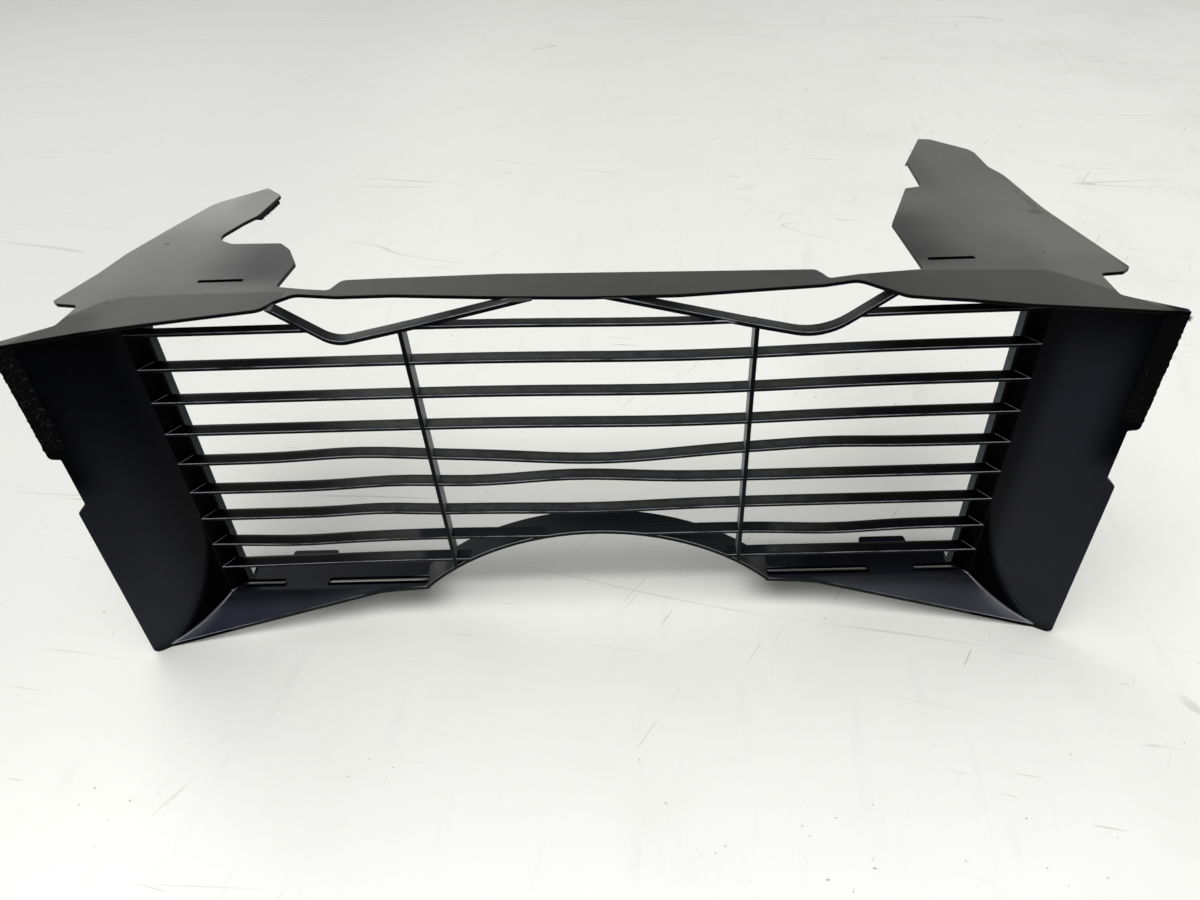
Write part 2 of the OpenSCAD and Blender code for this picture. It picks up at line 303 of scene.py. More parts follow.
@dataclass(frozen=True)
class Zone:
    """Part of a surface between soft bounds.

    Its share says how much of its colour shows, and dull how much of the gloss it takes away.
    """

    bounds: tuple[Rise, ...]
    share: float = 1.0
    dull: float = 0.0

    def part(self, *bounds: Rise, share: float = 1.0, dull: float = 0.0) -> "Zone":
        """Makes the zone that further bounds cut out of this one."""
        return Zone(self.bounds + bounds, share, dull)

    def mask(self, s: Surface) -> Output:
        """Finds the zone, from 0 outside to 1 inside."""
        return s.g.product(*(bound.mask(s) for bound in self.bounds))

    def paint(self, s: Surface, under: object, over: object) -> Output:
        """Lays a colour over the zone."""
        return s.g.coat(under, over, self.mask(s), self.share)

    def loss(self, s: Surface, *masks: object) -> Output:
        """Finds how much gloss is lost in the zone, or in given masks in its place."""
        return s.g.product(*(masks or (self.mask(s),)), self.dull)


# Zones of the moulding, in metres from its middle, its front plane and its lowest corners.
SIDE = Zone((Rise(ACROSS, 0.112, 0.15),))
LEFT = Zone((Rise(X, -0.1, -0.13),))
RIGHT = Zone((Rise(X, 0.1, 0.13),))

FACE = Zone((Rise(ACROSS, 0.199, 0.207), Rise(BACK, 0.004, -0.002)))
# Outer panels, which take a painted reflection, lighter lower down and outward.
PANEL = FACE.part(Rise(Z, 0.195, 0.05), Rise(ACROSS, 0.201, 0.226))
RIGHT_PANEL = FACE.part(Rise(Z, 0.197, 0.155), Rise(ACROSS, 0.199, 0.212), *RIGHT.bounds)
BESIDE_FELT = Zone((Rise(ACROSS, 0.222, 0.2355), Rise(Z, 0.105, 0.125)))
UPPER_LEFT = LEFT.part(Rise(Z, 0.09, 0.16), share=0.8)
DIM = FACE.part(dull=0.7)
# Painted shade in the curved folds of the lower corners, where the faces turn inward.
SUNK_SHADE = Zone((Rise(UP, 0.5, 0.3), Rise(OUTWARD, 0.1, -0.1), Rise(BACK, 0.004, 0.002)), 0.9, 0.95)
# Painted shade on the side walls between the slats.
SHADED_WALLS = Zone(
    (Rise(ACROSS, 0.189, 0.1905), Rise(ACROSS, 0.1995, 0.1985), Rise(BACK, -0.001, 0.0005),
     Rise(Z, 0.194, 0.192)), dull=0.8)
# Painted bounce light on the walls' rear rims, behind the slats.
LIT_WALL_RIMS = Zone((
    Rise(ACROSS, 0.1895, 0.1905), Rise(ACROSS, 0.1965, 0.196), Rise(BACK, 0.0086, 0.0091),
    Rise(BACK, 0.0135, 0.0128), Rise(Z, 0.194, 0.186)))
WALL_RIM_RISE = Rise(Z, 0.05, 0.19)

GRILLE = Zone((Rise(UP, 0.8, 0.95), Rise(Z, 0.19, 0.187), Rise(Z, 0.03, 0.034)))
# The slats' upper faces take a painted sheen, lighter towards the middle.
SLATS = GRILLE.part(Rise(ACROSS, 0.195, 0.11), Rise(BACK, 0.0002, 0.003), Rise(BACK, 0.0072, 0.005))
# Painted shade on the slats' upper faces towards their ends.
SHADED_SLAT_ENDS = GRILLE.part(Rise(ACROSS, 0.08, 0.14), Rise(BACK, 0.0072, 0.005), share=0.85, dull=0.85)
# Painted bounce light on the inner faces of the upright bars.
LIT_BARS = Zone(
    (Rise(OUTWARD, -0.7, -0.9), Rise(ACROSS, 0.09, 0.085), Rise(ACROSS, 0.06, 0.065),
     Rise(BACK, -0.0005, 0.001)), 0.9)

ARCH = Zone(
    (Rise(ACROSS, 0.094, 0.088), Rise(Z, 0.067, 0.063), Rise(Z, 0.03, 0.034),
     Rise(UP, 0.2, 0.5)), 0.9, 0.75)
# Upper faces of the bottom sheets, which take a painted bluish sheen.
SHEETS = Zone((Rise(UP, 0.8, 0.95), Rise(Z, 0.03, 0.026), Rise(Z, 0.019, 0.021)), 0.5, 0.5)
# Painted shade on the right half of the bottom sheets, behind the front plane.
SHADED_RIGHT_SHEET = SHEETS.part(*RIGHT.bounds, Rise(BACK, 0.0, 0.002), share=0.6, dull=0.95)
SHEET_EDGES = Zone((Rise(Z, 0.0195, 0.0205), Rise(Z, 0.0245, 0.0235), Rise(ACROSS, 0.092, 0.105)))
LIPS = Zone((Rise(UP, 0.35, 0.55), Rise(Z, 0.0225, 0.0205)))
# Painted shade on the rear part of the lips.
SHADED_INNER_LIPS = LIPS.part(Rise(BACK, -0.006, 0.0), share=0.75)
# Outer lips, which take the painted glow beside the ridge.
OUTER_LIPS = LIPS.part(Rise(ACROSS, 0.202, 0.217), Rise(BACK, -0.001, -0.003))
LIP_RISE = Rise(ACROSS, 0.19, 0.222)

SLOT_SURROUND = Zone((Rise(Z, 0.0205, 0.0212), Rise(Z, 0.03, 0.026)))
# Painted shade on the walls of the lower slots and in bands in front of them.
SHADED_SLOT_BANDS = SLOT_SURROUND.part(
    Rise(BACK, 0.0022, 0.0027), Rise(BACK, 0.0056, 0.0052), Rise(ACROSS, 0.0915, 0.093),
    Rise(ACROSS, 0.1945, 0.193), share=0.95, dull=0.95)
BAND_GAP = Zone((Rise(ACROSS, 0.147, 0.148), Rise(ACROSS, 0.171, 0.17)))
SHADED_SLOT_WALLS = Zone((
    Rise(BACK, 0.0051, 0.0054), Rise(BACK, 0.0086, 0.0083), Rise(Z, 0.0185, 0.0195),
    Rise(Z, 0.03, 0.026), Rise(UP, 0.6, 0.4)))
# Painted highlight along the front rims of the lower slots.
SLOT_RIM_HIGHLIGHTS = SLOT_SURROUND.part(
    Rise(BACK, 0.00445, 0.00465), Rise(BACK, 0.00535, 0.00515), Rise(ACROSS, 0.0925, 0.094),
    Rise(ACROSS, 0.194, 0.192))
RIM_GAP = Zone((Rise(ACROSS, 0.1455, 0.147), Rise(ACROSS, 0.1725, 0.171)))
LONG_LEFT_RIM = Zone((Rise(X, -0.09, -0.1), Rise(ACROSS, 0.16, 0.15)))

TOP = Zone((Rise(UP, 0.8, 0.95), Rise(Z, 0.19, 0.1935)))
# Painted shade inside the wing slots.
SHADED_WING_SLOTS = Zone(
    (Rise(ACROSS, 0.1507, 0.1517), Rise(ACROSS, 0.1723, 0.1713), Rise(BACK, 0.0249, 0.0255),
     Rise(BACK, 0.0281, 0.0275), Rise(Z, 0.18, 0.19)), dull=1.0)
RIGHT_CORNER = Rise(X, 0.2285, 0.236)
LEFT_CORNER = Rise(X, -0.2355, -0.2385)
# Outer parts, where the painted edge highlight is not broken up.
HIGHLIGHT_OUTSIDE = Rise(ACROSS, 0.178, 0.188)
BELOW_TOP = Rise(Z, 0.1952, 0.1945)
DUSTY = Rise(Z, 0.03, 0.05)

# Painted reflection on the top plate: a base amount, and what each patch adds or takes away.
REFLECTION_BASE = 0.34
REFLECTION_PATCHES = (
    SIDE.part(share=0.29),
    SIDE.part(Rise(BACK, 0.02, 0.03), share=0.10),
    LEFT.part(Rise(BACK, 0.03, 0.12), share=0.58),
    LEFT.part(Rise(BACK, 0.085, 0.11), Rise(ACROSS, 0.186, 0.172), share=-0.16),
    LEFT.part(
        Rise(ACROSS, 0.185, 0.165), Rise(BACK, 0.02, 0.04), Rise(BACK, 0.085, 0.065), share=-0.17),
    RIGHT.part(Rise(ACROSS, 0.184, 0.172), Rise(BACK, 0.09, 0.115), share=-0.18),
    RIGHT.part(
        Rise(ACROSS, 0.17, 0.195), Rise(BACK, 0.03, 0.06), Rise(BACK, 0.13, 0.08), share=0.14),
    LEFT.part(Rise(ACROSS, 0.2, 0.215), share=0.12),
    RIGHT.part(Rise(BACK, 0.03, 0.06), Rise(BACK, 0.125, 0.08), share=0.12),
    RIGHT.part(Rise(ACROSS, 0.19, 0.21), Rise(BACK, 0.06, 0.035), share=0.22),
    SIDE.part(
        Rise(ACROSS, 0.18, 0.145), Rise(BACK, 0.09, 0.06), Rise(BACK, 0.018, 0.03), share=-0.58),
)


@dataclass(frozen=True)
class Scuff:
    """A scuffed or dented spot on the top plate, in millimetres from the front plane's middle."""

    x: float
    y: float
    length: float
    width: float
    turn: float
    share: float
    blur: Pattern = Pattern(900.0, 3.0, 0.6, share=0.9)
    outside: float = 1.35
    inside: float = 0.9

    def mask(self, s: Surface) -> Output:
        """Finds the spot.

        Args:
            s: Surface of the moulding.

        Returns:
            How much of the spot shows, from 0 to its share.
        """
        g = s.g
        middle = (self.x * MM, self.y * MM + FRONT_PLANE, 0.0)
        scale = (1 / (self.length * MM), 1 / (self.width * MM), 0.0)
        place = g.node("VectorMath", {0: s.where, 1: middle}, operation="SUBTRACT")
        angle = {"Vector": place.outputs[0], "Angle": math.radians(self.turn)}
        turned = g.node("VectorRotate", angle).outputs[0]
        spot = g.node("VectorMath", {0: turned, 1: scale}, operation="MULTIPLY")
        far = g.node("VectorMath", {0: spot.outputs[0]}, operation="LENGTH")
        blur = g.product(self.blur.noise(g, s.where), self.blur.share)
        ragged = g.total(far.outputs["Value"], blur)
        return g.product(g.ramp(ragged, self.outside, self.inside), self.share)


SCUFFS = (
    Scuff(-199.8, 64.7, 2.4, 1.3, 20.0, 0.8),
    Scuff(-206.0, 10.5, 1.6, 5.0, -12.0, 0.30),
    Scuff(-183.0, 47.0, 9.0, 1.2, -14.0, 0.22),
    Scuff(213.4, 92.0, 2.0, 1.4, 0.0, 0.55),
    Scuff(215.0, 79.0, 2.2, 11.0, -6.0, 0.28),
    Scuff(213.6, 69.5, 5.0, 3.4, 20.0, 0.42),
    Scuff(202.5, 28.9, 1.4, 0.9, 10.0, 0.6),
    Scuff(196.0, 26.0, 7.0, 0.8, -14.0, 0.25),
)


@dataclass(frozen=True)
class Crease:
    """The fold line across the top plate, in millimetres across and back from the front plane."""

    half_width: float = 240.0
    half_depth: float = 30.0
    soft_behind: float = -0.0008
    soft_before: float = 0.0012
    marks: tuple[tuple[float, float], ...] = (
        (-240, -30), (-219, -2), (-208.7, 10.5), (-197.2, 14.9), (-173.9, 15.2), (-139.8, 14.9),
        (-128, 14), (-124, -30), (118, -30), (122, 16), (145.9, 16.5), (196.8, 13.7), (202.7, 9.8),
        (218.5, -5.7), (240, -30))

    def zone(self, s: Surface) -> tuple[Output, Output]:
        """Finds the folded front zone of the top plate.

        Args:
            s: Surface of the moulding.

        Returns:
            The share of the zone, and how far a point lies in front of the crease in metres.
        """
        g = s.g
        reach, span = self.half_width * MM, self.half_depth * MM
        run = g.ramp(s.along[X], -reach, reach, soft=False)
        curve = g.node("FloatCurve", {"Value": run})
        line = curve.mapping.curves[0]
        points = [
            ((x + self.half_width) / (2 * self.half_width),
             (y + self.half_depth) / (2 * self.half_depth)) for x, y in self.marks]
        line.points[0].location, line.points[1].location = points[0], points[-1]
        for place in points[1:-1]:
            line.points.new(*place)
        for point in line.points:
            point.handle_type = "VECTOR"
        curve.mapping.update()
        fold = g.maths(Op.SUBTRACT, g.product(curve.outputs[0], 2 * span), span)
        depth = g.maths(Op.SUBTRACT, fold, s.along[BACK])
        return g.ramp(depth, self.soft_behind, self.soft_before), g.maths(Op.HIGH, depth, 0.0)


@dataclass(frozen=True)
class LowerCorner:
    """The curved fold that closes each lower corner, and the ridge before it, in metres.

    The ridge runs forward and down from the wall's foot, bowed, and goes on along the foot.
    """

    inner: float = 0.199
    outer: float = 0.2323
    forward: float = -0.0195
    bow_back: float = 0.002
    top: float = 0.022
    down: float = -0.0196
    bow_down: float = -0.0036
    width: float = 0.0009
    bow_width: float = 0.0010
    outer_width: float = 0.0005
    foot: float = 0.1993
    foot_slope: float = 0.55
    foot_height: float = 0.0221
    ridge_start: Span = (0.1985, 0.201)
    ridge_end: float = 0.003
    hook_edge: Span = (0.0011, 0.0004)
    hook_start: Span = (-0.0004, 0.0002)
    hook_end: Span = (0.0058, 0.0046)
    fold_edge: Span = (-0.006, 0.007)
    fold_start: Span = (0.1985, 0.2)
    fold_low: float = 0.0027
    fold_rise: float = 0.0753
    fold_spread: float = 0.625
    fold_curve: float = 1.25

    def run(self, s: Surface) -> Output:
        """Measures the way from the ridge's inner to its outer end, from 0 to 1."""
        return s.g.ramp(s.along[ACROSS], self.inner, self.outer, soft=False)

    def ridge(self, s: Surface, reach: float = 0.0) -> Output:
        """Finds the sharp ridge.

        Args:
            s: Surface of the moulding.
            reach: How much wider than the ridge itself, in metres.

        Returns:
            The share of the ridge, from 0 to 1.
        """
        g, across, back, height = s.g, s.along[ACROSS], s.along[BACK], s.along[Z]
        t = self.run(s)
        bow = g.product(t, g.without(t), 4.0)
        ridge_back = g.total(g.product(t, self.forward), g.product(bow, self.bow_back))
        ridge_height = g.total(self.top, g.product(t, self.down), g.product(bow, self.bow_down))
        off = g.total(g.off(back, ridge_back), g.off(height, ridge_height))
        width = g.total(
            self.width + reach, g.product(bow, self.bow_width),
            g.product(t, self.outer_width))
        front = g.product(
            g.without(g.maths(Op.DIVIDE, off, width), clamp=True),
            g.ramp(across, *self.ridge_start),
            g.ramp(across, self.outer, self.outer - self.ridge_end))
        foot = g.maths(Op.SUBTRACT, self.foot, g.product(back, self.foot_slope))
        off_foot = g.total(g.off(across, foot), g.off(height, self.foot_height))
        hook = g.product(
            g.ramp(off_foot, *self.hook_edge), g.ramp(back, *self.hook_start),
            g.ramp(back, *self.hook_end))
        return g.maths(Op.HIGH, front, hook)

    def fold(self, s: Surface) -> Output:
        """Finds the curved fold.

        Args:
            s: Surface of the moulding.

        Returns:
            The share of the fold, which rises from its upper edge.
        """
        g = s.g
        left = g.without(g.maths(Op.POWER, self.run(s), self.fold_spread))
        rise = g.product(g.maths(Op.POWER, left, self.fold_curve), self.fold_rise)
        top = g.total(self.fold_low, rise)
        below = g.maths(Op.SUBTRACT, top, s.along[Z])
        start = g.ramp(s.along[ACROSS], *self.fold_start)
        return g.product(g.ramp(below, *self.fold_edge), start)


@dataclass(frozen=True)
class BlackMoulding:
    """Satin black moulded plastic: painted reflections on upper faces, painted shade in corners."""

    deep: Colour = srgb("06070c")
    shadow: Colour = srgb("020203")
    panel_reflection: Colour = srgb("25262e")
    slat_sheen: Colour = srgb("303131")
    arch: Colour = srgb("0e1416")
    sheet_sheen: Colour = srgb("12141d")
    lip_sheen: Colour = srgb("282c3a")
    pale_lip_sheen: Colour = srgb("393a42")
    bright_lip_sheen: Colour = srgb("4b4c54")
    top_reflection: Colour = srgb("62635e")
    glare: Colour = srgb("b8b9b2")
    folded: Colour = srgb("363634")
    scuffed: Colour = srgb("1c1c1b")
    bounce_light: Colour = srgb("676d6f")
    slot_rim_highlight: Colour = srgb("c4c4be")
    dust: Colour = srgb("8a8a86")
    # Colour of the painted highlights on the edges and along the ridge.
    line: Colour = srgb("c2c4c9")
    cloud: Pattern = Pattern(9.0, 3.0, 0.55)
    fine: Pattern = Pattern(160.0, 4.0, 0.6)
    specks: Pattern = Pattern(620.0, low=0.72, high=0.80, share=0.16)
    highlight_breakup: Pattern = Pattern(55.0, 3.0, 0.6, low=0.25, high=0.6)
    streaks: Pattern = Pattern(rough=0.6, share=0.08, stretch=(900.0, 60.0, 60.0), turn=20.0)
    waves: Pattern = Pattern(24.0, share=0.0004)
    grain: Pattern = Pattern(2600.0, rough=0.6, share=0.000018)
    panel_mottle: Span = (0.1, 0.6)
    slat_mottle: Span = (0.1, 0.7)
    lip_mottle: Span = (0.05, 0.65)
    plate_mottle: Span = (-0.3, 0.7)
    corner_mottle: Span = (0.1, 0.5)
    edge_turn: Span = (0.985, 0.90)
    edge_facing: Span = (0.72, 0.97)
    bounce_by_height: Span = (0.5, 0.35)
    bounce_by_side: Span = (0.72, 0.28)
    slot_rim_light: Span = (0.12, 0.6)
    glow: Span = (0.13, 0.08)
    fold_shade_share: float = 0.45
    highlight_share: float = 0.85
    ridge_highlight_share: float = 0.8
    glow_reach: float = 0.010
    highlight_side: Point = (0.0, -0.64, 0.77)
    edge_radius: float = 0.0007
    roughness: float = 0.42
    cloud_roughness: float = 0.16
    sheet_polish: float = 0.12
    refraction: float = 1.5
    specular: float = 0.12
    fine_depth: float = 0.00004
    fold_slope: float = -0.09
    crease: Crease = field(default_factory=Crease)
    corner: LowerCorner = field(default_factory=LowerCorner)

    def body(self, s: Surface, cloud: Output, fine: Output) -> Output:
        """Colours panels, walls, slats, arch, bottom sheets and lips, with painted light and shade.

        Args:
            s: Surface of the moulding.
            cloud: Wide noise.
            fine: Fine noise.

        Returns:
            The colour of all but the top plate.
        """
        g = s.g
        # Painted reflection on the outer panels: lighter lower down and outward, none beside the
        # felt.
        panels = g.maths(Op.HIGH, PANEL.mask(s), RIGHT_PANEL.mask(s))
        outer = g.product(panels, g.without(BESIDE_FELT.mask(s)))
        colour = g.coat(self.deep, self.panel_reflection, outer, g.ramp(cloud, *self.panel_mottle))
        # Painted shade in the curved folds of the lower corners.
        colour = g.coat(colour, self.shadow, self.corner.fold(s), SUNK_SHADE.mask(s), SUNK_SHADE.share)
        # Painted shade on the side walls between the slats.
        colour = SHADED_WALLS.paint(s, colour, self.shadow)
        # Painted sheen on the upper faces of the slats.
        colour = g.coat(colour, self.slat_sheen, SLATS.mask(s), g.ramp(fine, *self.slat_mottle))
        # Painted shade on the slats' upper faces towards their ends.
        colour = SHADED_SLAT_ENDS.paint(s, colour, self.shadow)
        colour = ARCH.paint(s, colour, self.arch)
        # Painted bluish sheen on the upper faces of the bottom sheets.
        colour = SHEETS.paint(s, colour, self.sheet_sheen)
        # Painted shade on the right half of the bottom sheets.
        colour = SHADED_RIGHT_SHEET.paint(s, colour, self.shadow)
        # Painted bluish sheen on the lips, paler on the right and brightest towards its outer
        # corner.
        bright = g.coat(self.pale_lip_sheen, self.bright_lip_sheen, LIP_RISE.mask(s))
        sheen = g.coat(self.lip_sheen, bright, RIGHT.mask(s))
        return g.coat(colour, sheen, LIPS.mask(s), g.ramp(cloud, *self.lip_mottle))

    def plate(self, s: Surface, colour: Output, folded: Output, noises: list[Output]) -> Output:
        """Colours the top plate: painted reflection and crease shade, dark corners and scuffs.

        Args:
            s: Surface of the moulding.
            colour: Colour of the rest.
            folded: Share of the zone in front of the crease.
            noises: Wide and fine noise.

        Returns:
            The colour with the top plate's own.
        """
        g = s.g
        cloud, fine = noises
        top = TOP.mask(s)
        # Painted reflection of bright light on the upper faces, with painted glare where it passes
        # full strength.
        patches = [g.product(patch.mask(s), patch.share) for patch in REFLECTION_PATCHES]
        top_reflection = g.total(REFLECTION_BASE, *patches)
        shade = g.coat(self.deep, self.top_reflection, g.maths(Op.MULTIPLY, top_reflection, 1.0, clamp=True))
        shade = g.coat(shade, self.glare, g.maths(Op.SUBTRACT, top_reflection, 1.0, clamp=True))
        colour = g.coat(colour, shade, top, g.ramp(cloud, *self.plate_mottle))
        # Painted shade on the sloping strip in front of the crease.
        colour = g.coat(colour, self.folded, top, folded, self.fold_shade_share)
        corners = g.maths(Op.HIGH, RIGHT_CORNER.mask(s), LEFT_CORNER.mask(s))
        colour = g.coat(colour, self.deep, top, corners, g.ramp(fine, *self.corner_mottle))
        for scuff in SCUFFS:
            colour = g.coat(colour, self.scuffed, scuff.mask(s), top)
        return colour

    def slots(self, s: Surface) -> Output:
        """Finds the painted shade on the walls of the lower slots and in the bands before them."""
        bands = s.g.product(SHADED_SLOT_BANDS.mask(s), s.g.without(BAND_GAP.mask(s)))
        return s.g.maths(Op.HIGH, bands, SHADED_SLOT_WALLS.mask(s))

    def rims(self, s: Surface, colour: Output) -> Output:
        """Paints light on wall rims and bars, shade in slots and inner lips, and slot highlights.

        Args:
            s: Surface of the moulding.
            colour: Colour so far.

        Returns:
            The colour with the painted light, shade and highlights.
        """
        g = s.g
        # Painted bounce light on the wall rims, stronger higher up and on the right, and on the
        # bars.
        higher = g.raised(WALL_RIM_RISE.mask(s), *self.bounce_by_height)
        righter = g.raised(RIGHT.mask(s), *self.bounce_by_side)
        colour = g.coat(colour, self.bounce_light, LIT_WALL_RIMS.mask(s), higher, righter)
        colour = LIT_BARS.paint(s, colour, self.bounce_light)
        # Painted shade inside the wing slots.
        colour = SHADED_WING_SLOTS.paint(s, colour, self.shadow)
        # Painted shade on the walls of the lower slots and in the bands before them.
        colour = g.coat(colour, self.shadow, self.slots(s), SHADED_SLOT_BANDS.share)
        # Painted highlight on the front rims of the lower slots, strongest on the long left one.
        lit = g.raised(LONG_LEFT_RIM.mask(s), *self.slot_rim_light)
        gap = g.without(RIM_GAP.mask(s))
        colour = g.coat(colour, self.slot_rim_highlight, SLOT_RIM_HIGHLIGHTS.mask(s), gap, lit)
        # Painted shade on the rear part of the lips.
        return SHADED_INNER_LIPS.paint(s, colour, self.shadow)

    def edges(self, s: Surface, colour: Output, rounded: Output) -> Output:
        """Adds dust, painted highlights on the edges, and a painted highlight and glow on the
        ridge.

        Args:
            s: Surface of the moulding.
            colour: Colour so far.
            rounded: Normal that is rounded at the edges.

        Returns:
            The finished colour.
        """
        g = s.g
        dust = self.specks.mask(g, s.where)
        colour = g.coat(colour, self.dust, dust, DUSTY.mask(s), self.specks.share)
        turned = g.node("VectorMath", {0: rounded, 1: s.flat}, operation="DOT_PRODUCT")
        lit = g.node("VectorMath", {0: rounded, 1: self.highlight_side}, operation="DOT_PRODUCT")
        highlight_breakup = g.maths(Op.HIGH, self.highlight_breakup.mask(g, s.where), HIGHLIGHT_OUTSIDE.mask(s))
        # Painted highlight on rounded edges that face the light, broken up by noise except on the
        # outer parts.
        edge_highlight = g.product(
            g.ramp(turned.outputs["Value"], *self.edge_turn),
            g.ramp(lit.outputs["Value"], *self.edge_facing),
            highlight_breakup, BELOW_TOP.mask(s), g.without(SHEET_EDGES.mask(s)))
        colour = g.coat(colour, self.line, edge_highlight, self.highlight_share)
        # Painted glow on the outer lips beside the ridge, and a painted highlight along the ridge.
        glow = g.raised(RIGHT.mask(s), *self.glow)
        wide = self.corner.ridge(s, self.glow_reach)
        colour = g.coat(colour, self.line, OUTER_LIPS.mask(s), wide, glow)
        return g.coat(colour, self.line, self.corner.ridge(s), self.ridge_highlight_share)

    def gloss(self, s: Surface) -> Output:
        """Finds the specular level, which is lower in the dark zones.

        Args:
            s: Surface of the moulding.

        Returns:
            The specular level.
        """
        g = s.g
        upper_left = g.product(UPPER_LEFT.mask(s), UPPER_LEFT.share)
        dim = g.maths(Op.HIGH, upper_left, BESIDE_FELT.mask(s))
        lost = g.total(
            SUNK_SHADE.loss(s, self.corner.fold(s), SUNK_SHADE.mask(s)), DIM.loss(s, DIM.mask(s), dim),
            SHADED_WALLS.loss(s), SHADED_WING_SLOTS.loss(s), ARCH.loss(s), SHADED_RIGHT_SHEET.loss(s), SHEETS.loss(s),
            SHADED_SLAT_ENDS.loss(s), SHADED_SLOT_BANDS.loss(s, self.slots(s)))
        return g.product(g.without(lost, clamp=True), self.specular)

    def build(self) -> bpy.types.Material:
        """Makes the material.

        Returns:
            The node material.
        """
        material = bpy.data.materials.new("satin_black_moulding")
        material.use_nodes = True
        g = Graph(material.node_tree)
        s = Surface(g)
        cloud, fine = self.cloud.noise(g, s.where), self.fine.noise(g, s.where)
        rounded = g.node("Bevel", {"Radius": self.edge_radius}, samples=8).outputs[0]
        folded, depth = self.crease.zone(s)

        colour = self.body(s, cloud, fine)
        colour = self.plate(s, colour, folded, [cloud, fine])
        colour = self.rims(s, colour)
        colour = self.edges(s, colour, rounded)

        clouds = g.maths(Op.SUBTRACT, cloud, 0.5)
        streaks = g.maths(Op.SUBTRACT, self.streaks.noise(g, s.where), 0.5)
        rough = g.total(
            self.roughness, g.product(clouds, self.cloud_roughness),
            g.product(streaks, self.streaks.share))
        polish = g.product(SHEETS.mask(s), self.sheet_polish)
        rough = g.maths(Op.SUBTRACT, rough, polish)
        height = g.total(
            g.product(self.grain.noise(g, s.where), self.grain.share),
            g.product(fine, self.fine_depth),
            g.product(self.waves.noise(g, s.where), self.waves.share),
            g.product(depth, TOP.mask(s), self.fold_slope))
        relief = {"Strength": 1.0, "Distance": 1.0, "Height": height, "Normal": rounded}
        bump = g.node("Bump", relief).outputs[0]

        shader = g.finish({
            "Base Color": colour, "Roughness": rough, "Normal": bump, "IOR": self.refraction,
            "Specular IOR Level": self.specular})
        g.feed(shader.inputs["Specular IOR Level"], self.gloss(s))
        return material


@dataclass(frozen=True)
class Felt:
    """Fuzzy black felt with pale specks of lint."""

    name: str = "black_felt"
    body: Colour = srgb("040406")
    lint: Colour = srgb("77787c")
    specks: float = 0.18
    nap: float = 0.0006
    flecks: Pattern = Pattern(700.0, rough=0.6, warp=2.0, low=0.70, high=0.78)
    matted: Pattern = Pattern(detail=4.0, rough=0.7, warp=1.2, stretch=(700.0, 700.0, 420.0))
    roughness: float = 0.95
    specular: float = 0.05
    sheen: float = 0.06
    sheen_roughness: float = 0.5

    def build(self) -> bpy.types.Material:
        """Makes the material.

        Returns:
            The node material.
        """
        material = bpy.data.materials.new(self.name)
        material.use_nodes = True
        g = Graph(material.node_tree)
        where = g.node("TexCoord").outputs["Object"]
        specks = g.product(self.flecks.mask(g, where), self.specks)
        pale = g.node("Attribute", attribute_name="lint").outputs["Fac"]
        colour = g.coat(self.body, self.lint, g.maths(Op.HIGH, specks, pale))
        height = g.product(self.matted.noise(g, where), self.nap)
        relief = {"Strength": 1.0, "Distance": 1.0, "Height": height}
        bump = g.node("Bump", relief).outputs[0]
        g.finish({
            "Base Color": colour, "Normal": bump, "Roughness": self.roughness,
            "Specular IOR Level": self.specular, "Sheen Weight": self.sheen,
            "Sheen Roughness": self.sheen_roughness})
        return material


@dataclass
class Moulding:
    """The one-piece grille, panels and wings, as the CAD node."""

    node: str = "guard"
    finish: BlackMoulding = field(default_factory=BlackMoulding)

    def dress(self) -> bpy.types.Object:
        """Gives the moulding its finish.

        Returns:
            The dressed piece.
        """
        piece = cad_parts[self.node]
        piece.data.materials.clear()
        piece.data.materials.append(self.finish.build())
        return piece


@dataclass(frozen=True)
class Fibres:
    """One kind of loose fibre: how many, their lengths in metres, and how pale they are."""

    count: int
    shortest: float
    longest: float
    pale: float = 0.0


def scatter(rng: random.Random) -> Vector:
    """Draws a direction at random, not of unit length."""
    return Vector((rng.gauss(0, 1), rng.gauss(0, 1), rng.gauss(0, 1)))


